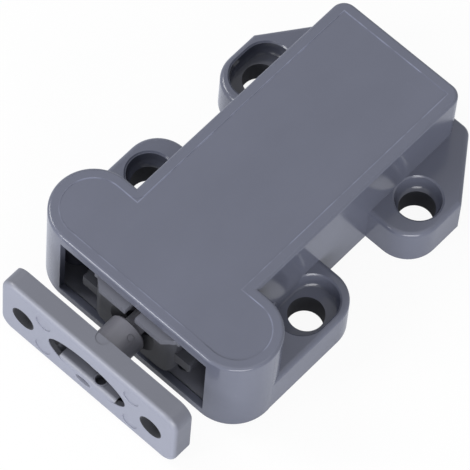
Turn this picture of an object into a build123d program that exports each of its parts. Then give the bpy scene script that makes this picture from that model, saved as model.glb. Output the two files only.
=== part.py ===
from build123d import *
import math
import os

# Push-to-open catch with its strike.  All sizes are in millimetres.
#
# Frame: +Z is up, away from the mounting surface.  The origin is the centre of the
# four fixing holes on the mounting face.  The mouth of the housing faces -Y, and the
# strike is gripped in it.  Places along the catch are given as distances behind the
# front face of the housing, and at() and its helpers turn them into model places.

# ------------------------------------------------------------------ driving sizes

# housing, one moulding
LENGTH = 54.0
BODY_WIDTH = 22.1
HEAD_WIDTH = 38.5
HEAD_DEPTH = 12.55
HEIGHT = 16.0
BODY_CORNER = 2.0
TOP_EDGE = 0.5
SIDE_WALL = 1.65
TOP_WALL = 2.0
REAR_WALL = 1.7
HEAD_BACK_WALL = 1.6
HEAD_FRONT_WALL = 1.0
MOUTH_WIDTH = 26.4
SILL_HEIGHT = 1.4
PANEL_INSET = 1.6
PANEL_DEPTH = 0.07

# fixing ears and their holes
EAR_SPAN = 38.4
EAR_HEIGHT = 6.8
EAR_EDGE = 0.7
EAR_CORNER = 4.9
FRONT_EAR_END = 25.6
REAR_EAR_START = 35.45
REAR_EAR_BEND = 45.4
REAR_EAR_TAIL = 12.3
REAR_EAR_ROUND = 2.0
REAR_LEDGE = 0.9
HOLE_SPACING_X = 29.0
HOLE_SPACING_Y = 22.6
HOLE_FRONT = 19.2
HOLE_RADIUS = 2.6
SEAT_HEIGHT = 4.05
ROUND_SEAT_RADIUS = 3.4
LONG_SEAT_WIDTH = 7.4
LONG_SEAT_LENGTH = 9.8
SEAT_DRAFT = 8.0
RIM_CHAMFER = 0.2

# base cover, pegged into the underside of the housing
COVER_THICK = 1.2
COVER_GAP = 0.1
COVER_LIP = 0.8
COVER_FRONT = 1.2
PEG_RADIUS = 1.1
PEG_LENGTH = 3.0
PEG_GAP = 0.03
FRONT_PEG_X = 15.4
BOSS_RADIUS = 2.3
BOSS_RIB = 1.4
REAR_BOSS_SIZE = 3.7
REAR_PEG_INSET = 1.8
GROOVE_FLOOR = 0.4

# travel of the carriage and swing of the jaws
OPEN_TRAVEL = 5.0
PUSH_TRAVEL = 1.2
SWING_PER_MM = 2.0

# carriage
SLIDE_GAP = 0.3
CARRIAGE_FRONT = 12.5
CARRIAGE_LENGTH = 27.5
CARRIAGE_FLOOR = 3.2
RUNNER_WIDTH = 2.2
FORK_DEPTH = 6.9
FORK_PLATE = 2.1
FORK_STEP = 0.7
WEB_WIDTH = 3.6
NOSE_FRONT = 6.95
NOSE_HEIGHT = 5.0
RIB_THICK = 1.1
POCKET_COUNT = 3
POCKET_DEPTH = 3.2

# jaws and their pivot pins
JAW_FRONT = 0.2
JAW_FLOOR = 2.2
JAW_TOP = 12.0
JAW_GAP = 1.8
JAW_OUTER = 7.4
JAW_LIP_BACK = 2.8
JAW_HOOK_BACK = 7.6
JAW_BOTTOM_ROUND = 3.1
JAW_INNER_ROUND = 1.0
JAW_CORNER = 1.6
FLANGE_THICK = 1.1
FLANGE_FRONT = -0.5
FLANGE_OVERHANG = 0.3
FLANGE_SHOULDER = 0.6
FLANGE_CHAMFER_X = 1.5
FLANGE_CHAMFER_Y = 1.4
FLANGE_SKIRT = 1.2
ARM_INNER = 2.6
ARM_WIDTH = 5.0
EYE_RADIUS = 2.8
PIVOT_X = 5.0
PIVOT_FRONT = 16.0
PIN_RADIUS = 1.0
PIN_FIT = 0.04
PIN_SEAT_GAP = 0.01
PIN_CHAMFER = 0.2
TAB_REACH = 9.85
TAB_FRONT = 0.8
TAB_DEPTH = 2.2
TAB_BOTTOM = 6.3
TAB_HEIGHT = 2.1
TAB_EDGE = 0.35
FOOT_RADIUS = 1.4
POCKET_CORNER = 0.8
CAM_PEG_X = 5.6
CAM_PEG_FRONT = 8.5
CAM_PEG_RADIUS = 1.0
CAM_GAP = 0.25
CAM_PEG_END_GAP = 0.3

# strike: moulded plate and the gripped pin
PIN_HEIGHT = 7.2
PLATE_LENGTH = 31.8
PLATE_THICK = 3.3
PLATE_HEIGHT = 12.0
PLATE_DROP = 0.6
PLATE_CORNER = 2.2
PLATE_EDGE = 0.8
PLATE_STANDOFF = 5.45
STRIKE_HOLE_SPACING = 23.3
STRIKE_HOLE_RADIUS = 1.8
STRIKE_FIT = 0.05
WINDOW_WIDTH = 14.0
WINDOW_HEIGHT = 6.3
WINDOW_DEPTH = 2.4
WINDOW_LIP = 0.8
WINDOW_UNDERCUT = 0.6
PLATFORM_LENGTH = 10.2
PLATFORM_DROP = 1.9
PLATFORM_EDGE = 0.8
SOCKET_X = 1.5
SOCKET_BACK = 1.35
SOCKET_RADIUS = 0.85
SOCKET_DEPTH = 1.6
SOCKET_RIM = 0.15
SCOOP_X = -0.6
SCOOP_DROP = 3.2
SCOOP_WIDTH = 2.7
SCOOP_HEIGHT = 1.3
SCOOP_DEPTH = 0.6
NOTCH_WIDTH = 4.8
NOTCH_HEIGHT = 0.6
NOTCH_BACK = 1.5
MARK_X = 8.0
MARK_LEVEL = 3.4
MARK_RADIUS = 1.35
MARK_DEPTH = 0.12
TOP_MARK_RADIUS = 1.1
TOP_MARK_INSET = 0.2
SHANK_RADIUS = 2.88
SHANK_END = -0.4
SHANK_EDGE = 0.3
SHANK_MARK_BACK = -2.05
SHANK_MARK_TURN = 36.0
SHANK_MARK_RADIUS = 0.6
SHANK_MARK_LINE = 0.18
NECK_RADIUS = 1.5
HEAD_RADIUS = 3.5
HEAD_START = 3.2
HEAD_RIM = 0.6
HEAD_END = 6.6
TIP_RADIUS = 1.6
PEG_END_RADIUS = 1.9
STAKE_RADIUS = 2.2
STAKE_THICK = 0.7

# grip of the jaws round the strike pin
NECK_NOTCH_RADIUS = 2.4
FUNNEL_RADIUS = 4.0
FUNNEL_DEPTH = 1.2
HEAD_POCKET_HALF_WIDTH = 4.5
HEAD_POCKET_HALF_HEIGHT = 3.85
HEAD_POCKET_BACK = 7.0

# heart-shaped latch track, steel follower wire and its leaf spring
TRACK_DEPTH = 1.7
TRACK_FRONT = 24.0
WIRE_RADIUS = 0.45
WIRE_LEVEL = 2.3
WIRE_BEND = 0.9
WIRE_TIP_TOP = 4.5
WIRE_TAIL = 46.5
WIRE_TAIL_END = 0.3
LANE_WIDTH = 1.3
HEART_HALF_WIDTH = 1.25
HEART_LENGTH = 3.2
LOBE_FRONT = 0.8
NOTCH_GAP = 0.1
LEAF_THICK = 0.25
LEAF_WIDTH = 3.4
LEAF_LENGTH = 9.0
LEAF_TO_TAIL = 3.5
LEAF_GAP = 0.03
LEAF_STOP = 0.6

# main spring
SPRING_LEVEL = 8.4
SPRING_RADIUS = 2.9
SPRING_WIRE = 0.35
SPRING_TURNS = 8
SPRING_SEAT = 31.0
SPRING_BORE = 3.8
SPIGOT_RADIUS = 2.1
SPIGOT_LENGTH = 3.0
SPRING_END_GAP = 0.1

# ------------------------------------------------------------------ places that follow

FRONT_Y = -(HOLE_FRONT + HOLE_SPACING_Y / 2)
BODY_HALF = BODY_WIDTH / 2
EAR_HALF = EAR_SPAN / 2
HEAD_INNER_HALF = HEAD_WIDTH / 2 - HEAD_BACK_WALL
MOUTH_HALF = MOUTH_WIDTH / 2
BORE_HALF = BODY_HALF - SIDE_WALL
ROOF = HEIGHT - TOP_WALL
HEAD_INNER_BACK = HEAD_DEPTH - HEAD_BACK_WALL
BORE_BACK = LENGTH - REAR_WALL
CARRIAGE_HALF = BORE_HALF - SLIDE_GAP
CARRIAGE_TOP = ROOF - SLIDE_GAP
CARRIAGE_BACK = CARRIAGE_FRONT + CARRIAGE_LENGTH
FORK_BACK = CARRIAGE_FRONT + FORK_DEPTH
FORK_FLOOR = CARRIAGE_FLOOR + FORK_PLATE
FORK_ROOF = CARRIAGE_TOP - FORK_PLATE - FORK_STEP
ARM_FLOOR = FORK_FLOOR + SLIDE_GAP
ARM_TOP = FORK_ROOF - SLIDE_GAP
PLATE_BACK = -PLATE_STANDOFF
PLATE_FRONT = PLATE_BACK - PLATE_THICK
PLATE_MIDDLE = PIN_HEIGHT - PLATE_DROP
PLATE_TOP = PLATE_MIDDLE + PLATE_HEIGHT / 2
FRONT_PEG_BACK = (HEAD_FRONT_WALL + HEAD_INNER_BACK) / 2
REAR_PEG_X = BORE_HALF - REAR_PEG_INSET
REAR_PEG_BACK = BORE_BACK - REAR_PEG_INSET
LEAF_END = WIRE_TAIL - LEAF_TO_TAIL
LEAF_START = LEAF_END - LEAF_LENGTH
# a joined form reaches INTO its neighbour, and a cut runs PAST the face it opens
INTO = 0.5
PAST = 1.0
BIG = 80.0


# ------------------------------------------------------------------ helpers

def block(x0, x1, d0, d1, z0, z1):
    """A box from its two x, its two distances behind the front face and its two heights."""
    middle = Pos((x0 + x1) / 2, FRONT_Y + (d0 + d1) / 2, (z0 + z1) / 2)
    return middle * Box(x1 - x0, d1 - d0, z1 - z0)


def post(x, d, radius, z0, z1):
    """An upright round post."""
    return Pos(x, FRONT_Y + d, (z0 + z1) / 2) * Cylinder(radius, z1 - z0)


def bar_y(x, z, radius, d0, d1):
    """A round bar along Y."""
    return Pos(x, FRONT_Y + (d0 + d1) / 2, z) * Rot(90, 0, 0) * Cylinder(radius, d1 - d0)


def plan(x, d):
    """A point of a plan outline."""
    return (x, FRONT_Y + d)


def plan_rectangle(x0, x1, d0, d1):
    return Pos((x0 + x1) / 2, FRONT_Y + (d0 + d1) / 2) * Rectangle(x1 - x0, d1 - d0)


def slot_across(reach, d0, d1):
    """A round-ended plan outline across the catch, between two distances."""
    return Pos(*plan(0, (d0 + d1) / 2)) * SlotOverall(2 * reach, d1 - d0)


def raised(sketch, z0, z1):
    """A plan outline extruded between two heights."""
    return Pos(0, 0, z0) * extrude(sketch, z1 - z0)


def both_sides(shape):
    return shape + mirror(shape, Plane.YZ)


def vertical_edges(shape, d, x=None):
    """The upright edges at a distance behind the front face, and at an x if one is given."""
    found = []
    for edge in shape.edges().filter_by(Axis.Z):
        centre = edge.center()
        if abs(centre.Y - FRONT_Y - d) > 0.01:
            continue
        if x is None or abs(abs(centre.X) - x) < 0.01:
            found.append(edge)
    return found


# ------------------------------------------------------------------ housing

def tee_outline():
    """Plan of the tall part of the housing: a round-ended head and a narrower body."""
    head = slot_across(HEAD_WIDTH / 2, 0, HEAD_DEPTH)
    body = plan_rectangle(-BODY_HALF, BODY_HALF, HEAD_DEPTH / 2, LENGTH)
    body = fillet(body.vertices().group_by(Axis.Y)[-1], BODY_CORNER)
    return head + body


def ear_outline():
    """Plan of the two low fixing ears on the +X side, reaching under the body.

    The rear ear runs on as a ledge behind the body, up to the middle of the catch.
    """
    front = plan_rectangle(BODY_HALF / 2, EAR_HALF, HEAD_DEPTH / 2, FRONT_EAR_END)
    front = fillet(front.vertices().group_by(Axis.Y)[-1].sort_by(Axis.X)[-1], EAR_CORNER)
    rear_end = LENGTH + REAR_LEDGE
    rear = make_face(Polyline(
        plan(0, REAR_EAR_START), plan(EAR_HALF, REAR_EAR_START),
        plan(EAR_HALF, REAR_EAR_BEND), plan(REAR_EAR_TAIL, rear_end),
        plan(0, rear_end), close=True))
    rear = fillet(rear.vertices().group_by(Axis.Y)[0].sort_by(Axis.X)[-1], EAR_CORNER)
    rear = fillet(rear.vertices().group_by(Axis.Y)[-1].sort_by(Axis.X)[-1], REAR_EAR_ROUND)
    return front, rear


def ears():
    """Four ears, each with a drafted seat for its screw head, oblong in two of them."""
    front, rear = ear_outline()
    shape = None
    for outline in (front, rear):
        slab = raised(outline, 0, EAR_HEIGHT)
        rim = slab.faces().sort_by(Axis.Z)[-1].edges()
        buried = (rim.sort_by(Axis.X)[0], rim.sort_by(Axis.Y)[0])
        keep_sharp = buried if outline is front else buried[:1]
        outer = [edge for edge in rim if edge not in keep_sharp]
        slab = both_sides(fillet(outer, EAR_EDGE))
        shape = slab if shape is None else shape + slab
    for side in (-1, 1):
        for row in (-1, 1):
            place = Pos(side * HOLE_SPACING_X / 2, row * HOLE_SPACING_Y / 2, EAR_HEIGHT)
            shape -= place * screw_seat(oblong=side * row < 0)
    return shape


def screw_seat(oblong):
    """The drafted recess for a screw head, measured down from the top of an ear."""
    depth = EAR_HEIGHT - SEAT_HEIGHT
    if oblong:
        rim = Rot(0, 0, 90) * SlotOverall(LONG_SEAT_LENGTH, LONG_SEAT_WIDTH)
        recess = extrude(rim, -depth, taper=SEAT_DRAFT)
        lead = extrude(offset(rim, RIM_CHAMFER), -RIM_CHAMFER, taper=45)
        return recess + lead
    cone_low = Pos(0, 0, -depth / 2) * Cone(HOLE_RADIUS, ROUND_SEAT_RADIUS, depth)
    lead = Pos(0, 0, -RIM_CHAMFER / 2) * Cone(
        ROUND_SEAT_RADIUS, ROUND_SEAT_RADIUS + RIM_CHAMFER, RIM_CHAMFER)
    return cone_low + lead


def cavity():
    """The hollow inside: round-ended behind the mouth and its sill, narrow along the body."""
    head = slot_across(HEAD_INNER_HALF, HEAD_FRONT_WALL, HEAD_INNER_BACK)
    bore = plan_rectangle(-BORE_HALF, BORE_HALF, HEAD_DEPTH / 2, BORE_BACK)
    mouth = block(-MOUTH_HALF, MOUTH_HALF, -PAST, FRONT_PEG_BACK, SILL_HEIGHT, ROOF)
    return raised(head + bore, COVER_THICK, ROOF) + mouth


def cover_outline(gap=0.0):
    """Plan of the base cover: a round-ended head behind the sill and the long body part."""
    head = slot_across(HEAD_INNER_HALF + COVER_LIP + gap, COVER_FRONT - gap,
                       HEAD_INNER_BACK + COVER_LIP + gap)
    half = BORE_HALF + COVER_LIP + gap
    body = plan_rectangle(-half, half, HEAD_DEPTH / 2, BORE_BACK + COVER_LIP + gap)
    return head + body


def cover_pegs(radius, top):
    """The four pegs that hold the cover, or with a larger radius their holes."""
    pegs = post(FRONT_PEG_X, FRONT_PEG_BACK, radius, COVER_THICK, top)
    pegs += post(REAR_PEG_X, REAR_PEG_BACK, radius, COVER_THICK, top)
    return both_sides(pegs)


def peg_bosses():
    """Columns under the roof that take the pegs: ribbed ones in the head, square ones behind."""
    roof = ROOF + INTO
    front = post(FRONT_PEG_X, FRONT_PEG_BACK, BOSS_RADIUS, COVER_THICK, roof)
    front += block(FRONT_PEG_X, HEAD_INNER_HALF + INTO, FRONT_PEG_BACK - BOSS_RIB / 2,
                   FRONT_PEG_BACK + BOSS_RIB / 2, COVER_THICK, roof)
    rear = block(BORE_HALF - REAR_BOSS_SIZE, BORE_HALF + INTO, BORE_BACK - REAR_BOSS_SIZE,
                 BORE_BACK + INTO, COVER_THICK, roof)
    return both_sides(front + rear)


def make_housing():
    tee = tee_outline()
    shell = raised(tee, 0, HEIGHT)
    shell = fillet(shell.faces().sort_by(Axis.Z)[-1].edges(), TOP_EDGE)
    shell = ears() + shell
    shell -= raised(offset(tee, -PANEL_INSET), HEIGHT - PANEL_DEPTH, HEIGHT + PAST)
    shell -= cavity()
    shell += peg_bosses()
    # the spigot that centres the main spring
    shell += bar_y(0, SPRING_LEVEL, SPIGOT_RADIUS, BORE_BACK - SPIGOT_LENGTH, BORE_BACK + INTO)
    # seat of the cover and its peg holes
    shell -= raised(cover_outline(COVER_GAP), -PAST, COVER_THICK)
    shell -= cover_pegs(PEG_RADIUS + PEG_GAP, COVER_THICK + PEG_LENGTH + SLIDE_GAP)
    for side in (-1, 1):
        for row in (-1, 1):
            shell -= Pos(side * HOLE_SPACING_X / 2, row * HOLE_SPACING_Y / 2, 0) * Cylinder(
                HOLE_RADIUS, BIG)
    return shell


# ------------------------------------------------------------------ base cover

def cam_peg_at(travel):
    """Where the +X jaw's cam peg stands when the carriage has come forward by a travel."""
    angle = math.radians(SWING_PER_MM * travel)
    dx = CAM_PEG_X - PIVOT_X
    dy = CAM_PEG_FRONT - PIVOT_FRONT
    x = PIVOT_X + dx * math.cos(angle) - dy * math.sin(angle)
    d = PIVOT_FRONT - travel + dx * math.sin(angle) + dy * math.cos(angle)
    return x, d


def cam_groove():
    """The slanted groove that spreads the +X jaw as the carriage comes forward."""
    start = Vector(*plan(*cam_peg_at(-PUSH_TRAVEL)))
    end = Vector(*plan(*cam_peg_at(OPEN_TRAVEL)))
    width = 2 * (CAM_PEG_RADIUS + CAM_GAP)
    slot = SlotCenterPoint((start + end) / 2, end, width)
    return raised(slot, GROOVE_FLOOR, COVER_THICK + PAST)


def make_base_cover():
    shape = raised(cover_outline(), 0, COVER_THICK)
    shape += cover_pegs(PEG_RADIUS, COVER_THICK + PEG_LENGTH)
    shape -= both_sides(cam_groove())
    shape -= post(0, WIRE_TAIL, WIRE_RADIUS + PIN_FIT, -PAST, COVER_THICK + PAST)
    # low stops at the four corners of the leaf spring
    stop_x = LEAF_WIDTH / 2 + LEAF_GAP
    for d in (LEAF_START, LEAF_END):
        stop = block(stop_x, stop_x + LEAF_STOP, d - LEAF_STOP, d + LEAF_STOP,
                     COVER_THICK, COVER_THICK + LEAF_STOP)
        shape += both_sides(stop)
    return shape


# ------------------------------------------------------------------ carriage

def heart_outline():
    """The island that the follower wire is caught on, notched at the front."""
    catch = WIRE_RADIUS + NOTCH_GAP
    slant = catch * math.sin(math.pi / 4)
    lobe = HEART_HALF_WIDTH - catch
    lobe_back = TRACK_FRONT - LOBE_FRONT + lobe / 2
    tip = plan(0, TRACK_FRONT + HEART_LENGTH)
    shoulder = plan(HEART_HALF_WIDTH, TRACK_FRONT + catch)
    right = make_face([
        Line(plan(0, TRACK_FRONT + catch), tip),
        Line(tip, shoulder),
        Line(shoulder, plan(HEART_HALF_WIDTH, lobe_back)),
        ThreePointArc(plan(HEART_HALF_WIDTH, lobe_back),
                      plan(HEART_HALF_WIDTH - lobe / 2, TRACK_FRONT - LOBE_FRONT),
                      plan(catch, lobe_back)),
        Line(plan(catch, lobe_back), plan(catch, TRACK_FRONT)),
        ThreePointArc(plan(catch, TRACK_FRONT), plan(slant, TRACK_FRONT + slant),
                      plan(0, TRACK_FRONT + catch)),
    ])
    return right + mirror(right, Plane.YZ)


def track_outline():
    """The closed lane round the heart, with a straight run-out towards the rear."""
    room = WIRE_RADIUS + NOTCH_GAP
    front = TRACK_FRONT - PUSH_TRAVEL - room
    half = HEART_HALF_WIDTH + LANE_WIDTH
    join = TRACK_FRONT + HEART_LENGTH
    end = TRACK_FRONT + OPEN_TRAVEL + room
    return make_face(Polyline(
        plan(-half / 2, front), plan(half / 2, front), plan(half, front + half / 2),
        plan(half, TRACK_FRONT + room), plan(LANE_WIDTH / 2, join + LANE_WIDTH / 2),
        plan(LANE_WIDTH / 2, end), plan(-LANE_WIDTH / 2, end),
        plan(-LANE_WIDTH / 2, join + LANE_WIDTH / 2), plan(-half, TRACK_FRONT + room),
        plan(-half, front + half / 2), close=True))


def make_carriage():
    half = CARRIAGE_HALF
    shape = block(-half, half, CARRIAGE_FRONT, CARRIAGE_BACK, CARRIAGE_FLOOR, CARRIAGE_TOP)
    shape = chamfer(vertical_edges(shape, CARRIAGE_BACK), RIB_THICK)
    # fork for the jaws, split by a web that runs forward as the bumper nose
    shape -= block(-half - PAST, half + PAST, CARRIAGE_FRONT - PAST, FORK_BACK,
                   FORK_FLOOR, FORK_ROOF)
    nose = block(-WEB_WIDTH / 2, WEB_WIDTH / 2, NOSE_FRONT, CARRIAGE_FRONT + INTO,
                 FORK_FLOOR, FORK_FLOOR + NOSE_HEIGHT)
    shape += fillet(vertical_edges(nose, NOSE_FRONT), WEB_WIDTH / 4)
    shape += block(-WEB_WIDTH / 2, WEB_WIDTH / 2, CARRIAGE_FRONT, FORK_BACK + INTO,
                   FORK_FLOOR - INTO, FORK_ROOF + INTO)
    shape -= both_sides(post(PIVOT_X, PIVOT_FRONT, PIN_RADIUS + PIN_SEAT_GAP,
                             CARRIAGE_FLOOR + FORK_PLATE / 2, BIG))
    # runners along both sides
    runner = block(half - RUNNER_WIDTH, half, CARRIAGE_FRONT, CARRIAGE_BACK - RIB_THICK,
                   COVER_THICK + SLIDE_GAP, CARRIAGE_FLOOR)
    shape += both_sides(runner)
    # ribbed sides
    bay = (CARRIAGE_BACK - FORK_BACK - RIB_THICK) / POCKET_COUNT
    for number in range(POCKET_COUNT):
        start = FORK_BACK + RIB_THICK + number * bay
        pocket = block(half - POCKET_DEPTH, half + PAST, start, start + bay - RIB_THICK,
                       FORK_FLOOR, CARRIAGE_TOP - RIB_THICK)
        shape -= both_sides(pocket)
    # bore of the main spring and the latch track underneath
    shape -= bar_y(0, SPRING_LEVEL, SPRING_BORE, SPRING_SEAT, BIG)
    track = track_outline() - heart_outline()
    shape -= raised(track, CARRIAGE_FLOOR - PAST, CARRIAGE_FLOOR + TRACK_DEPTH)
    return shape


# ------------------------------------------------------------------ jaws

def flange_outline():
    """Plan of the +X jaw's flange, chamfered at its outer front corner."""
    inner = JAW_GAP / 2
    reach = JAW_OUTER + FLANGE_OVERHANG
    shoulder = reach - FLANGE_SHOULDER
    back = FLANGE_FRONT + FLANGE_CHAMFER_Y
    return make_face(Polyline(
        plan(inner, FLANGE_FRONT), plan(shoulder - FLANGE_CHAMFER_X, FLANGE_FRONT),
        plan(shoulder, back), plan(reach, back),
        plan(reach, JAW_HOOK_BACK), plan(inner, JAW_HOOK_BACK), close=True))


def jaw_hook():
    """The front of the +X jaw: a round-bottomed block under a visor-like flange."""
    inner = JAW_GAP / 2
    section = make_face(Polyline(
        (inner, JAW_FLOOR), (JAW_OUTER, JAW_FLOOR), (JAW_OUTER, JAW_TOP), (inner, JAW_TOP),
        close=True))
    section = fillet(section.vertices().group_by(Axis.Y)[0].sort_by(Axis.X)[-1],
                     JAW_BOTTOM_ROUND)
    section = fillet(section.vertices().group_by(Axis.Y)[0].sort_by(Axis.X)[0],
                     JAW_INNER_ROUND)
    front = Plane((0, FRONT_Y + JAW_HOOK_BACK, 0), x_dir=(1, 0, 0), z_dir=(0, -1, 0))
    low = extrude(front * section, JAW_HOOK_BACK - JAW_FRONT)
    outline = plan_rectangle(inner, JAW_OUTER, JAW_FRONT, JAW_HOOK_BACK)
    outline = fillet(outline.vertices().group_by(Axis.Y)[0].sort_by(Axis.X)[-1], JAW_CORNER)
    low = low & raised(outline, JAW_FLOOR, JAW_TOP)
    # the flange and the sloping skirt that carries it
    flange = flange_outline()
    slope = math.degrees(math.atan((JAW_FRONT - FLANGE_FRONT) / FLANGE_SKIRT))
    low += raised(flange, JAW_TOP - FLANGE_THICK, JAW_TOP)
    low += Pos(0, 0, JAW_TOP - FLANGE_THICK) * extrude(flange, -FLANGE_SKIRT, taper=slope)
    return low


def make_jaw():
    """The +X jaw; the other one is its mirror image."""
    shape = jaw_hook()
    arm = block(ARM_INNER, ARM_INNER + ARM_WIDTH, JAW_HOOK_BACK - INTO, PIVOT_FRONT,
                ARM_FLOOR, ARM_TOP)
    eye = post(PIVOT_X, PIVOT_FRONT, EYE_RADIUS, ARM_FLOOR, ARM_TOP)
    trim = block(PIVOT_X - EYE_RADIUS, PIVOT_X + EYE_RADIUS, PIVOT_FRONT - EYE_RADIUS,
                 PIVOT_FRONT, ARM_FLOOR, ARM_TOP)
    shape += (arm - trim) + eye + (arm & trim)
    # foot that carries the cam peg
    shape += post(CAM_PEG_X, CAM_PEG_FRONT, FOOT_RADIUS, JAW_FLOOR, ARM_FLOOR + INTO)
    shape += post(CAM_PEG_X, CAM_PEG_FRONT, CAM_PEG_RADIUS, GROOVE_FLOOR + CAM_PEG_END_GAP,
                  JAW_FLOOR + INTO)
    # guide tab on the outer side
    tab = block(JAW_OUTER - JAW_CORNER, TAB_REACH, TAB_FRONT, TAB_FRONT + TAB_DEPTH,
                TAB_BOTTOM, TAB_BOTTOM + TAB_HEIGHT)
    shape += fillet(tab.faces().sort_by(Axis.X)[-1].edges(), TAB_EDGE)
    # neck notch with its funnel, head pocket behind it, pivot bore
    shape -= bar_y(0, PIN_HEIGHT, NECK_NOTCH_RADIUS, FLANGE_FRONT - PAST, JAW_LIP_BACK + INTO)
    funnel = Pos(0, FRONT_Y + JAW_FRONT + FUNNEL_DEPTH / 2, PIN_HEIGHT) * Rot(90, 0, 0) * Cone(
        NECK_NOTCH_RADIUS, FUNNEL_RADIUS, FUNNEL_DEPTH)
    shape -= funnel
    low = PIN_HEIGHT - HEAD_POCKET_HALF_HEIGHT
    high = PIN_HEIGHT + HEAD_POCKET_HALF_HEIGHT
    pocket = block(-HEAD_POCKET_HALF_WIDTH, HEAD_POCKET_HALF_WIDTH, JAW_LIP_BACK,
                   HEAD_POCKET_BACK, low, high)
    shape -= fillet(vertical_edges(pocket, HEAD_POCKET_BACK), POCKET_CORNER)
    shape -= block(-ARM_INNER, ARM_INNER, HEAD_POCKET_BACK - INTO, JAW_HOOK_BACK + PAST,
                   low, high)
    shape -= post(PIVOT_X, PIVOT_FRONT, PIN_RADIUS + PIN_FIT, 0, BIG)
    return shape


def make_jaw_pin():
    """The steel pin of the +X jaw, held in the carriage fork."""
    low = CARRIAGE_FLOOR + FORK_PLATE / 2
    pin = post(PIVOT_X, PIVOT_FRONT, PIN_RADIUS, low, CARRIAGE_TOP - PIN_CHAMFER)
    return chamfer(pin.edges().filter_by(GeomType.CIRCLE), PIN_CHAMFER)


# ------------------------------------------------------------------ springs and wire

def make_main_spring():
    """Compression spring between the carriage and the rear wall, with ground ends."""
    start = SPRING_SEAT + SPRING_END_GAP
    end = BORE_BACK - PIN_SEAT_GAP
    length = end - start
    pitch = length / SPRING_TURNS
    path = Helix(pitch, length, SPRING_RADIUS)
    section = Plane(path @ 0, z_dir=path % 0) * Circle(SPRING_WIRE)
    coil = sweep(section, path, is_frenet=True)
    coil = Pos(0, FRONT_Y + start, SPRING_LEVEL) * Rot(-90, 0, 0) * coil
    keep = block(-BIG, BIG, start, end, -BIG, BIG)
    return coil & keep


def make_latch_wire():
    """Follower wire: its tip stands in the heart track, its tail in the base cover."""
    path = FilletPolyline(
        (0, FRONT_Y + TRACK_FRONT, WIRE_TIP_TOP), (0, FRONT_Y + TRACK_FRONT, WIRE_LEVEL),
        (0, FRONT_Y + WIRE_TAIL, WIRE_LEVEL), (0, FRONT_Y + WIRE_TAIL, WIRE_TAIL_END),
        radius=WIRE_BEND)
    section = Plane(path @ 0, z_dir=path % 0) * Circle(WIRE_RADIUS)
    return sweep(section, path)


def make_leaf_spring():
    """A bowed steel strip on the cover that keeps the follower wire up in its track."""
    rise = WIRE_LEVEL - WIRE_RADIUS - LEAF_GAP - LEAF_THICK - COVER_THICK
    ends = []
    for lift in (0.0, LEAF_THICK):
        ends.append(ThreePointArc(
            (FRONT_Y + LEAF_START, COVER_THICK + lift),
            (FRONT_Y + LEAF_START + LEAF_LENGTH / 2, COVER_THICK + lift + rise),
            (FRONT_Y + LEAF_END, COVER_THICK + lift)))
    sides = [Line(ends[0] @ 0, ends[1] @ 0), Line(ends[0] @ 1, ends[1] @ 1)]
    section = Plane.YZ * make_face(ends + sides)
    return extrude(section, LEAF_WIDTH / 2, both=True)


# ------------------------------------------------------------------ strike

def oval_cut(x, z, width, height, depth, start=0.0):
    """An oval prism into the plate from its front face, or from a depth behind it."""
    face = Plane((x, FRONT_Y + PLATE_FRONT + start, z), x_dir=(1, 0, 0), z_dir=(0, -1, 0))
    return extrude(face * Ellipse(width / 2, height / 2), start - depth)


def platform():
    """The flat step across the lower part of the window, rounded at its front edge."""
    top = PLATE_MIDDLE - PLATFORM_DROP
    half = PLATFORM_LENGTH / 2
    step = block(-half, half, PLATE_FRONT, PLATE_FRONT + WINDOW_DEPTH + INTO,
                 PLATE_MIDDLE - WINDOW_HEIGHT / 2 - WINDOW_UNDERCUT - INTO, top)
    lip = step.edges().filter_by(Axis.X).group_by(Axis.Z)[-1].sort_by(Axis.Y)[0]
    step = fillet(lip, PLATFORM_EDGE)
    d = PLATE_FRONT + SOCKET_BACK
    step += post(SOCKET_X, d, SOCKET_RADIUS + SOCKET_RIM, top - INTO, top + SOCKET_RIM)
    return step - post(SOCKET_X, d, SOCKET_RADIUS, top - SOCKET_DEPTH, top + PAST)


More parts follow.
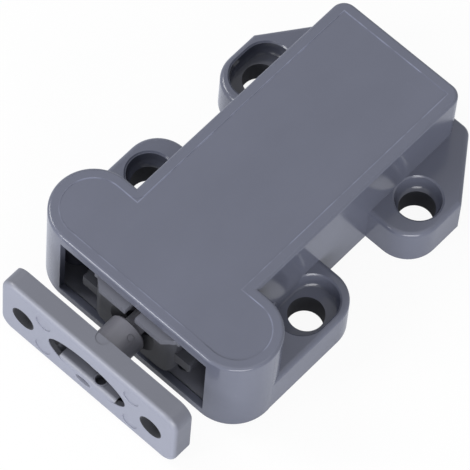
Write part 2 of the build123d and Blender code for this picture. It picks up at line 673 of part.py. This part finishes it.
def make_strike_plate():
    face = Plane((0, FRONT_Y + PLATE_BACK, PLATE_MIDDLE), x_dir=(1, 0, 0), z_dir=(0, -1, 0))
    plate = extrude(face * RectangleRounded(PLATE_LENGTH, PLATE_HEIGHT, PLATE_CORNER),
                    PLATE_THICK)
    plate = fillet(plate.faces().sort_by(Axis.Y)[0].edges(), PLATE_EDGE)
    # window, wider behind its lip, with the platform, the socket and the scoop below it
    plate -= oval_cut(0, PLATE_MIDDLE, WINDOW_WIDTH, WINDOW_HEIGHT, WINDOW_DEPTH)
    plate -= oval_cut(0, PLATE_MIDDLE, WINDOW_WIDTH + 2 * WINDOW_UNDERCUT,
                      WINDOW_HEIGHT + 2 * WINDOW_UNDERCUT, WINDOW_DEPTH, WINDOW_LIP)
    plate += platform()
    plate -= oval_cut(SCOOP_X, PLATE_MIDDLE - SCOOP_DROP, SCOOP_WIDTH, SCOOP_HEIGHT, SCOOP_DEPTH)
    plate -= bar_y(0, PIN_HEIGHT, PEG_END_RADIUS + STRIKE_FIT, PLATE_FRONT + WINDOW_DEPTH - INTO,
                   PLATE_BACK + PAST)
    for side in (-1, 1):
        plate -= bar_y(side * STRIKE_HOLE_SPACING / 2, PLATE_MIDDLE, STRIKE_HOLE_RADIUS,
                       PLATE_FRONT - PAST, PLATE_BACK + PAST)
        for level in (-1, 1):
            plate -= bar_y(side * MARK_X, PLATE_MIDDLE + level * MARK_LEVEL, MARK_RADIUS,
                           PLATE_FRONT - PAST, PLATE_FRONT + MARK_DEPTH)
    plate -= post(0, PLATE_BACK - TOP_MARK_INSET, TOP_MARK_RADIUS, PLATE_TOP - MARK_DEPTH,
                  PLATE_TOP + PAST)
    bottom = PLATE_MIDDLE - PLATE_HEIGHT / 2
    plate -= block(-NOTCH_WIDTH / 2, NOTCH_WIDTH / 2, PLATE_FRONT - PAST,
                   PLATE_FRONT + NOTCH_BACK, bottom - PAST, bottom + NOTCH_HEIGHT)
    return plate


def make_strike_pin():
    """The gripped pin: a staked end in the plate, a stout shank, a neck and a head."""
    floor = PLATE_FRONT + WINDOW_DEPTH
    profile = make_face(Plane.XY * Polyline(
        (0, floor - STAKE_THICK), (STAKE_RADIUS, floor - STAKE_THICK),
        (STAKE_RADIUS, floor - PIN_SEAT_GAP), (PEG_END_RADIUS, floor - PIN_SEAT_GAP),
        (PEG_END_RADIUS, PLATE_BACK + PIN_SEAT_GAP), (SHANK_RADIUS, PLATE_BACK + PIN_SEAT_GAP),
        (SHANK_RADIUS, SHANK_END - SHANK_EDGE), (SHANK_RADIUS - SHANK_EDGE, SHANK_END),
        (NECK_RADIUS, SHANK_END), (NECK_RADIUS, HEAD_START), (HEAD_RADIUS, HEAD_START),
        (HEAD_RADIUS, HEAD_START + HEAD_RIM), (TIP_RADIUS, HEAD_END), (0, HEAD_END),
        close=True))
    pin = Pos(0, FRONT_Y, PIN_HEIGHT) * revolve(profile, Axis.Y)
    ring = Cylinder(SHANK_MARK_RADIUS, 2 * MARK_DEPTH)
    ring -= Cylinder(SHANK_MARK_RADIUS - SHANK_MARK_LINE, BIG)
    return pin - Pos(0, FRONT_Y + SHANK_MARK_BACK, PIN_HEIGHT) * Rot(
        0, SHANK_MARK_TURN, 0) * Pos(0, 0, SHANK_RADIUS) * ring


# ------------------------------------------------------------------ write the parts

def main():
    os.makedirs("parts", exist_ok=True)
    jaw = make_jaw()
    pin = make_jaw_pin()
    parts = {
        "housing": make_housing(),
        "base_cover": make_base_cover(),
        "carriage": make_carriage(),
        "jaw_right": jaw,
        "jaw_left": mirror(jaw, Plane.YZ),
        "jaw_pin_right": pin,
        "jaw_pin_left": mirror(pin, Plane.YZ),
        "main_spring": make_main_spring(),
        "latch_wire": make_latch_wire(),
        "leaf_spring": make_leaf_spring(),
        "strike_plate": make_strike_plate(),
        "strike_pin": make_strike_pin(),
    }
    for name, shape in parts.items():
        export_step(shape, f"parts/{name}.step")


if __name__ == "__main__":
    main()
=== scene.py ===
import math

import bpy
from mathutils import Matrix, Vector


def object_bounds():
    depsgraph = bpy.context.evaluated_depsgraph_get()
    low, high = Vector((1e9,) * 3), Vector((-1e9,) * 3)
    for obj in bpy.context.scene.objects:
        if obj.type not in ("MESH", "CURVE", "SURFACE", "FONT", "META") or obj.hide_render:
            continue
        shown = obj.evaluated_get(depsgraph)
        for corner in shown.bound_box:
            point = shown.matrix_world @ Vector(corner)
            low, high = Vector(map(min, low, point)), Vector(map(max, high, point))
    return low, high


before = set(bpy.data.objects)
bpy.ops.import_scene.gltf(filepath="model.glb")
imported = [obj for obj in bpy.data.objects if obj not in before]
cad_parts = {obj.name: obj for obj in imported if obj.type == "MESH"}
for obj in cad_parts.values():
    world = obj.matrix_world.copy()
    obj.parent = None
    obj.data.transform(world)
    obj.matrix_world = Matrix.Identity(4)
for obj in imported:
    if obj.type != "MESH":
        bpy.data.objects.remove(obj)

cad_low, cad_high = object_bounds()
scene = bpy.context.scene

# Lengths are in metres. x runs to the right ears, y to the back, z up from the mounting plane.

# ------------------------------------------------------------------ plastics and steels

HOUSING_GREY = (0.128, 0.137, 0.184)
COVER_GREY = (0.120, 0.124, 0.150)
# the carriage and the jaws are set darker than the housing, partly as painted shade for the inside
# of the mouth
INNER_GREY = (0.055, 0.056, 0.066)
JAW_GREY = (0.056, 0.058, 0.070)
STRIKE_GREY = (0.132, 0.138, 0.170)
PIN_GREY = (0.200, 0.200, 0.232)
SPRING_STEEL = (0.42, 0.42, 0.43)
WIRE_STEEL = (0.50, 0.50, 0.50)

# marks that moulding and handling leave on plastic: their contrast, then how deep they are
CLOUD_CONTRAST = 0.045
SCUFF_SHARE = 0.10
SCUFF_TONE = 1.5
SINK_DEPTH = 0.00003
SKIN_DEPTH = 0.000004

# how much each mark adds to the roughness, and what a matt place adds
SKIN_ROUGH = 0.05
SCUFF_ROUGH = 0.08
CLOUD_SMOOTH = 0.04
MATT_ROUGH = 0.6

# the same for the draw marks and the oil film on steel
FILM_TONES = (0.85, 1.05)
DRAW_DEPTH = 0.00002
DRAW_ROUGH = 0.18
FILM_ROUGH = 0.1

# ------------------------------------------------------------------ places on the part

# screw bores and seats of the housing, the same in all four quarters
BORE_PLACE = (0.0145, 0.0113)
BORE_RADIUS = 0.0027
SEAT_REACH = 0.0040
SEAT_STRETCH = 0.0012
SEAT_FLOOR = 0.00405
SEAT_TOP = 0.0065
SEAT_BLEND = 0.0016

# outline of the top panel: a bar with round ends on the head, and the body behind it
HEAD_MIDDLE = -0.024225
HEAD_REACH = 0.012975
HEAD_RADIUS = 0.006275
BODY_HALF = 0.01105
BODY_END = 0.0235

# painted hairline of light and shade on the step round the panel, and where it turns from painted
# highlight to painted shade
PANEL_INSET = 0.0016
PANEL_LINE = 0.00014
PANEL_LEVEL = 0.0158
PANEL_SHADE = 0.009
PANEL_TURN = 0.003

# sill below the mouth, inner face of the base cover, top flanges of the jaws
MOUTH_HALF = 0.0132
MOUTH_FACE = -0.0305
SILL_START = 0.0002
SILL_REACH = 0.0040
SILL_TOP = 0.0016
COVER_LEVEL = 0.0011
FLANGE_LEVEL = 0.0108
FLANGE_BLEND = 0.0002

# strike plate: its front face and rounded edge, its screw holes, its window and the step in it
STRIKE_FACE = -0.03925
STRIKE_ROUNDING = 0.0008
STRIKE_FADE = 0.00064
STRIKE_BORE = (0.01165, 0.0066)
STRIKE_BORE_RADIUS = 0.00195
WINDOW_HALF = (0.0070, 0.00315)
WINDOW_MARGIN = 1.25
WINDOW_START = 0.0001
STEP_HALF = 0.00505
STEP_DEPTH = 0.0024
STEP_SHARE = 0.5

# ------------------------------------------------------------------ table, light and camera

TABLE_REACH = 3.0
TABLE_DROP = 0.00002
TABLE_GLOW = 0.93
MIRRORED_SHARE = 0.32
TABLE_LIT = (0.40, 0.41, 0.45, 1)
TABLE_SEEN = (0.90, 0.90, 0.90, 1)
TABLE_MIRRORED = (0.82, 0.86, 0.98, 1)
TABLE_ROUGH = 0.8
GRAIN_ROUGH = 0.1

ROOM_LIGHT = 0.38
ROOM_COLOUR = (0.97, 0.98, 1.0, 1)
ROOM_SEEN = (0.8, 0.8, 0.8, 1)
LAMP_DISTANCE = 0.6

VIEW_AZIMUTH = 37.64
VIEW_ELEVATION = 61.79
VIEW_ROLL = 5.54
VIEW_DISTANCE = 0.65706
VIEW_AIM = Vector((0.00067, -0.01075, 0.008))
LENS = 372.4


# ------------------------------------------------------------------ shader arithmetic

class Signal:
    """A shader socket that takes part in Python arithmetic."""

    def __init__(self, shading, socket):
        self.shading = shading
        self.socket = socket

    def _join(self, operation, first, second):
        return self.shading.node("ShaderNodeMath", {"operation": operation}, {0: first, 1: second})

    def __add__(self, other):
        return self._join("ADD", self, other)

    def __radd__(self, other):
        return self._join("ADD", other, self)

    def __sub__(self, other):
        return self._join("SUBTRACT", self, other)

    def __rsub__(self, other):
        return self._join("SUBTRACT", other, self)

    def __mul__(self, other):
        return self._join("MULTIPLY", self, other)

    def __rmul__(self, other):
        return self._join("MULTIPLY", other, self)

    def __truediv__(self, number):
        return self * (1 / number)

    def __lt__(self, other):
        return self._join("LESS_THAN", self, other)

    def __gt__(self, other):
        return self._join("GREATER_THAN", self, other)

    def size(self):
        return self._join("ABSOLUTE", self, 0.0)

    def root(self):
        return self._join("SQRT", self, 0.0)

    def at_least(self, other):
        return self._join("MAXIMUM", self, other)

    def at_most(self, other):
        return self._join("MINIMUM", self, other)

    def clamped(self):
        return self.at_least(0.0).at_most(1.0)


class Shading:
    """The node tree of a material or a world, emptied, and what fills it again."""

    def __init__(self, owner):
        owner.use_nodes = True
        self.tree = owner.node_tree
        self.tree.nodes.clear()

    def feed(self, socket, value):
        """Links a signal to the socket, or sets a plain value on it."""
        if isinstance(value, Signal):
            self.tree.links.new(value.socket, socket)
        else:
            socket.default_value = value

    def node(self, kind, settings=None, inputs=None, output=0):
        """Adds a node: its settings first, then the values or links of its sockets.

        It gives back the output that is asked for, or a list where several are named.
        """
        node = self.tree.nodes.new(kind)
        for key, value in (settings or {}).items():
            if key == "stops":
                for element, (position, level) in zip(node.color_ramp.elements, value):
                    element.position = position
                    element.color = (level, level, level, 1)
            else:
                setattr(node, key, value)
        for key, value in (inputs or {}).items():
            self.feed(node.inputs[key], value)
        if not node.outputs:
            return None
        if isinstance(output, tuple):
            return [Signal(self, node.outputs[key]) for key in output]
        return Signal(self, node.outputs[output])

    def axes(self):
        """Object coordinates as three separate values."""
        spot = self.node("ShaderNodeTexCoord", output="Object")
        return self.node("ShaderNodeSeparateXYZ", {}, {"Vector": spot}, output=("X", "Y", "Z"))

    def rays(self):
        """One for a ray that the eye sees directly, in a reflection, and through glass."""
        return self.node("ShaderNodeLightPath", output=(
            "Is Camera Ray", "Is Glossy Ray", "Is Transmission Ray"))

    def noise(self, scale, detail, roughness=0.5, stretch=(1, 1, 1), turn=(0, 0, 0)):
        """Noise on object coordinates that are first stretched and turned."""
        spot = self.node("ShaderNodeTexCoord", output="Object")
        spot = self.node("ShaderNodeMapping", {}, {
            "Vector": spot, "Scale": stretch, "Rotation": turn})
        return self.node("ShaderNodeTexNoise", {}, {
            "Vector": spot, "Scale": scale, "Detail": detail, "Roughness": roughness})

    def ramp(self, value, stops):
        """A grey ramp between two stops; each is a position and its level."""
        return self.node("ShaderNodeValToRGB", {"stops": stops}, {"Fac": value})

    def blend_colour(self, share, first, second):
        return self.node("ShaderNodeMix", {"data_type": "RGBA", "blend_type": "MIX"}, {
            "Factor": share, 6: first, 7: second}, output=2)

    def bump(self, height, distance, under=None):
        """Bump of a height times a distance, on top of the normal under it."""
        inputs = {"Height": height, "Distance": distance}
        if under is not None:
            inputs["Normal"] = under
        return self.node("ShaderNodeBump", {}, inputs)


class Finish(Shading):
    """One material and the nodes that make it."""

    def __init__(self, name):
        self.material = bpy.data.materials.new(name)
        super().__init__(self.material)

    def close(self, shader):
        """Ends the tree with a shader and gives back the material."""
        self.node("ShaderNodeOutputMaterial", {}, {"Surface": shader})
        return self.material


def tint(colour, factor):
    return tuple(channel * factor for channel in colour) + (1.0,)


# ------------------------------------------------------------------ masks for those places

def screw_bores(finish):
    """One on the walls of the four screw bores of the housing, below their seats, which are
    painted darker as painted shade and made matt.
    """
    x, y, z = finish.axes()
    across = x.size() - BORE_PLACE[0]
    along = y.size() - BORE_PLACE[1]
    inside = across * across + along * along < BORE_RADIUS ** 2
    return inside * (z < SEAT_FLOOR)


def in_seat(x, y):
    """One over the floor and the walls of the four screw seats, seen from above."""
    across = x.size() - BORE_PLACE[0]
    along = ((y.size() - BORE_PLACE[1]).size() - SEAT_STRETCH).at_least(0.0)
    return across * across + along * along < SEAT_REACH ** 2


def seat_fillet(finish):
    """Height of the soft fillet at the foot of the screw seats' walls: a parabola in z."""
    x, y, z = finish.axes()
    below = (SEAT_FLOOR + SEAT_BLEND - z).at_least(0.0).at_most(SEAT_BLEND)
    return in_seat(x, y) * below * below * (0.5 / SEAT_BLEND)


def left_seats(finish):
    """One in the screw seats of the two left ears, which lie in shade and are painted darker."""
    x, y, z = finish.axes()
    return in_seat(x, y) * (z < SEAT_TOP) * (x < 0.0)


def mouth_sill(finish):
    """One on the top of the sill below the mouth, which lies in shade and is painted darker."""
    x, y, z = finish.axes()
    behind_face = (y > MOUTH_FACE + SILL_START) * (y < MOUTH_FACE + SILL_REACH)
    return (z < SILL_TOP) * (x.size() < MOUTH_HALF) * behind_face


def panel_step(finish):
    """The painted hairline of light and shade on the step round the top panel, by its distance to
    the panel's outline.

    With it comes a share that grows to one on the front right round of the head, where the
    step is in shade and the line is painted as shade.
    """
    x, y, z = finish.axes()
    past_bar = (x.size() - HEAD_REACH).at_least(0.0)
    behind_middle = y - HEAD_MIDDLE
    head = (past_bar * past_bar + behind_middle * behind_middle).root() - HEAD_RADIUS
    body = (x.size() - BODY_HALF).at_least(y - BODY_END).at_least(HEAD_MIDDLE - y)
    distance = (head.at_most(body) + PANEL_INSET).size()
    line = (1.0 - distance / PANEL_LINE).clamped() * (z > PANEL_LEVEL)
    broken = finish.ramp(finish.noise(scale=350.0, detail=3.0), [(0.40, 0.2), (0.60, 1.0)])
    to_the_right = ((x - PANEL_SHADE) / PANEL_TURN).clamped()
    to_the_front = ((HEAD_MIDDLE - y) / PANEL_TURN).clamped()
    return line * broken, to_the_right * to_the_front


def panel_light(finish):
    """The painted highlight part of the hairline on the step of the top panel."""
    line, shaded = panel_step(finish)
    return line * (1.0 - shaded)


def panel_shade(finish):
    """The painted shade part of the hairline on the step of the top panel."""
    line, shaded = panel_step(finish)
    return line * shaded


def cover_inside_light(finish):
    """One on the inner face of the base cover, which is painted paler as painted light where
    little light reaches.
    """
    z = finish.axes()[2]
    return z > COVER_LEVEL


def jaw_flange(finish):
    """One on the top flange of a jaw, which catches the light and is painted paler."""
    z = finish.axes()[2]
    return ((z - FLANGE_LEVEL) / FLANGE_BLEND).clamped()


def strike_front_light(finish):
    """One on the front face of the strike plate, which is painted paler as painted light,
    fading out over its rounded edge."""
    y = finish.axes()[1]
    return ((STRIKE_FACE + STRIKE_ROUNDING - y) / STRIKE_FADE).clamped()


def strike_bores(finish):
    """One on the walls of the two screw holes of the strike plate, which are painted darker as
    painted shade and made matt.
    """
    x, _, z = finish.axes()
    across = x.size() - STRIKE_BORE[0]
    up = z - STRIKE_BORE[1]
    return across * across + up * up < STRIKE_BORE_RADIUS ** 2


def strike_window_shade(finish):
    """One in the wells at both ends of the strike's window, and a share that grows to the back
    of the step between them: painted shade in the recess. The window is an ellipse, and the margin
    takes in its wall."""
    x, y, z = finish.axes()
    across = x / WINDOW_HALF[0]
    up = (z - STRIKE_BORE[1]) / WINDOW_HALF[1]
    inside = (across * across + up * up < WINDOW_MARGIN) * (y > STRIKE_FACE + WINDOW_START)
    deep = ((y - STRIKE_FACE) / STEP_DEPTH).clamped()
    return inside * (x.size() > STEP_HALF).at_least(STEP_SHARE * deep)


# ------------------------------------------------------------------ finishes

def moulded_plastic(name, colour, roughness=0.3, specular=0.5, tones=(), matt=None, fillet=None):
    """Injection-moulded plastic: faint flow clouds, sink marks, a fine skin, handling scuffs.

    Each of the tones is a place and the level it is painted there: below 1 is darker, above 1
    is paler. They stand for shade and light that the lamps alone don't give, and with no tones
    the plastic is even. The matt place is rougher, and the fillet is a height for a bump.
    """
    finish = Finish(name)
    clouds = finish.noise(scale=90.0, detail=4.0, roughness=0.6, stretch=(1.0, 0.6, 1.0))
    clouds = finish.ramp(clouds, [(0.30, 0.0), (0.70, 1.0)])
    sink = finish.noise(scale=130.0, detail=1.0)
    skin = finish.noise(scale=5200.0, detail=2.0)
    scuffs = finish.noise(
        scale=420.0, detail=6.0, roughness=0.7, stretch=(1.0, 7.0, 1.0), turn=(0, 0, 0.6))
    scuffs = finish.ramp(scuffs, [(0.60, 0.0), (0.74, 1.0)])

    paint = finish.blend_colour(
        clouds, tint(colour, 1 - CLOUD_CONTRAST), tint(colour, 1 + CLOUD_CONTRAST))
    paint = finish.blend_colour(scuffs * SCUFF_SHARE, paint, tint(colour, SCUFF_TONE))
    for place, level in tones:
        paint = finish.blend_colour(place(finish), paint, tint(colour, level))

    rough = roughness + SKIN_ROUGH * skin + SCUFF_ROUGH * scuffs - CLOUD_SMOOTH * clouds
    if matt:
        rough = rough + MATT_ROUGH * matt(finish)

    normal = finish.bump(sink, SINK_DEPTH)
    normal = finish.bump(skin, SKIN_DEPTH, under=normal)
    if fillet:
        normal = finish.bump(fillet(finish), 1.0, under=normal)

    return finish.close(finish.node("ShaderNodeBsdfPrincipled", {}, {
        "Base Color": paint, "Roughness": rough, "Normal": normal, "IOR": 1.5,
        "Specular IOR Level": specular}))


def drawn_steel(name, colour, roughness):
    """Drawn spring steel: fine draw marks and a thin, uneven film of oil."""
    finish = Finish(name)
    marks = finish.noise(scale=2600.0, detail=3.0, stretch=(1.0, 0.08, 1.0))
    film = finish.ramp(finish.noise(scale=300.0, detail=3.0), [(0.35, 0.0), (0.7, 1.0)])
    dark, pale = FILM_TONES
    return finish.close(finish.node("ShaderNodeBsdfPrincipled", {}, {
        "Base Color": finish.blend_colour(film, tint(colour, dark), tint(colour, pale)),
        "Metallic": 1.0,
        "Roughness": roughness + DRAW_ROUGH * marks + FILM_ROUGH * film,
        "Normal": finish.bump(marks, DRAW_DEPTH)}))


# housing tones: painted highlight and shade on the panel step, painted shade in the left seats, on
# the sill and in the bores
housing_finish = moulded_plastic(
    "housing_moulding", HOUSING_GREY, roughness=0.15,
    tones=[(panel_light, 1.9), (panel_shade, 0.55), (left_seats, 0.55),
           (mouth_sill, 0.8), (screw_bores, 0.25)],
    matt=screw_bores, fillet=seat_fillet)
# the inner face of the cover is painted paler, as painted light
cover_finish = moulded_plastic(
    "cover_moulding", COVER_GREY, roughness=0.34, tones=[(cover_inside_light, 1.7)])
inner_finish = moulded_plastic(
    "carriage_moulding", INNER_GREY, roughness=0.34, specular=0.3)
jaw_finish = moulded_plastic(
    "jaw_moulding", JAW_GREY, roughness=0.42, specular=0.25, tones=[(jaw_flange, 3.0)])
# strike tones: a paler front as painted light, painted shade in the window and the holes
strike_finish = moulded_plastic(
    "strike_moulding", STRIKE_GREY, roughness=0.42, specular=0.8,
    tones=[(strike_front_light, 2.0), (strike_window_shade, 0.3), (strike_bores, 0.25)],
    matt=strike_bores)
pin_finish = moulded_plastic("strike_pin_moulding", PIN_GREY, roughness=0.3)
spring_finish = drawn_steel("spring_steel", SPRING_STEEL, roughness=0.25)
wire_finish = drawn_steel("wire_steel", WIRE_STEEL, roughness=0.2)

NODE_FINISHES = {
    "housing": housing_finish,
    "base_cover": cover_finish,
    "carriage": inner_finish,
    "jaw_left": jaw_finish,
    "jaw_right": jaw_finish,
    "jaw_pin_left": wire_finish,
    "jaw_pin_right": wire_finish,
    "main_spring": spring_finish,
    "leaf_spring": spring_finish,
    "latch_wire": wire_finish,
    "strike_plate": strike_finish,
    "strike_pin": pin_finish,
}
for node_name, material in NODE_FINISHES.items():
    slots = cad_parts[node_name].data.materials
    for index in range(len(slots)):
        slots[index] = material


# ------------------------------------------------------------------ table and room

def table_finish():
    """A pale table: grey to the light that falls on it, white to the eye, with its shadow."""
    finish = Finish("pale_table")
    seen, mirrored, through = finish.rays()
    paint = finish.blend_colour(seen + through, TABLE_LIT, TABLE_SEEN)
    paint = finish.blend_colour(mirrored, paint, TABLE_MIRRORED)
    grain = finish.noise(scale=700.0, detail=3.0)
    matt = finish.node("ShaderNodeBsdfPrincipled", {}, {
        "Base Color": paint, "Roughness": TABLE_ROUGH + GRAIN_ROUGH * grain})
    glow = finish.node("ShaderNodeEmission", {}, {"Color": (1, 1, 1, 1), "Strength": 1.0})
    glowing = (seen + MIRRORED_SHARE * mirrored + through) * TABLE_GLOW
    return finish.close(finish.node("ShaderNodeMixShader", {}, {0: glowing, 1: matt, 2: glow}))


def make_table():
    """A square table top, a hair below the mounting plane so that the two don't coincide."""
    mesh = bpy.data.meshes.new("table_top")
    corners = [(x * TABLE_REACH, y * TABLE_REACH, cad_low.z)
               for x, y in ((-1, -1), (1, -1), (1, 1), (-1, 1))]
    mesh.from_pydata(corners, [], [(0, 1, 2, 3)])
    mesh.materials.append(table_finish())
    table = bpy.data.objects.new("table_top", mesh)
    table.location.z = -TABLE_DROP
    scene.collection.objects.link(table)
    return table


def make_room():
    """The world: dim to the light that reaches the part, pale to the eye and in reflections."""
    world = bpy.data.worlds.new("studio")
    shading = Shading(world)
    seen, mirrored, through = shading.rays()
    dim = shading.node("ShaderNodeBackground", {}, {"Color": ROOM_COLOUR, "Strength": ROOM_LIGHT})
    pale = shading.node("ShaderNodeBackground", {}, {"Color": ROOM_SEEN, "Strength": 1.0})
    shown = shading.node("ShaderNodeMixShader", {}, {
        0: seen + mirrored + through, 1: dim, 2: pale})
    shading.node("ShaderNodeOutputWorld", {}, {"Surface": shown})
    return world


floor = make_table()
scene.world = make_room()


# ------------------------------------------------------------------ lamps and camera

def outward(azimuth, elevation):
    """The direction from the part at an azimuth and elevation in degrees; 0 is the front."""
    a, e = math.radians(azimuth), math.radians(elevation)
    return Vector((math.sin(a) * math.cos(e), -math.cos(a) * math.cos(e), math.sin(e)))


def soft_lamp(name, azimuth, elevation, size, power):
    """A round area lamp that faces the middle of the part."""
    middle = (cad_low + cad_high) / 2
    lamp = bpy.data.lights.new(name, "AREA")
    lamp.shape = "DISK"
    lamp.size = size
    lamp.energy = power
    holder = bpy.data.objects.new(name, lamp)
    holder.location = middle + outward(azimuth, elevation) * LAMP_DISTANCE
    holder.rotation_euler = (middle - holder.location).to_track_quat("-Z", "Y").to_euler()
    scene.collection.objects.link(holder)


def make_camera():
    forward = -outward(VIEW_AZIMUTH, VIEW_ELEVATION)
    roll = math.radians(VIEW_ROLL)
    level = forward.cross(Vector((0, 0, 1))).normalized()
    upright = level.cross(forward)
    right = level * math.cos(roll) + upright * math.sin(roll)
    up = right.cross(forward)
    data = bpy.data.cameras.new("viewer")
    data.lens = LENS
    data.sensor_width = 36.0
    data.clip_start = 0.05
    data.clip_end = 20.0
    camera = bpy.data.objects.new("viewer", data)
    turn = Matrix((right, up, -forward)).transposed().to_4x4()
    camera.matrix_world = Matrix.Translation(VIEW_AIM - forward * VIEW_DISTANCE) @ turn
    scene.collection.objects.link(camera)
    return camera


soft_lamp("key", azimuth=-72, elevation=42, size=0.30, power=1.6)
soft_lamp("ceiling", azimuth=90, elevation=78, size=0.50, power=0.32)
soft_lamp("front_fill", azimuth=50, elevation=13, size=0.45, power=3.0)
soft_lamp("edge", azimuth=-20, elevation=32, size=0.20, power=1.1)

scene.camera = make_camera()
scene.view_settings.view_transform = "Standard"
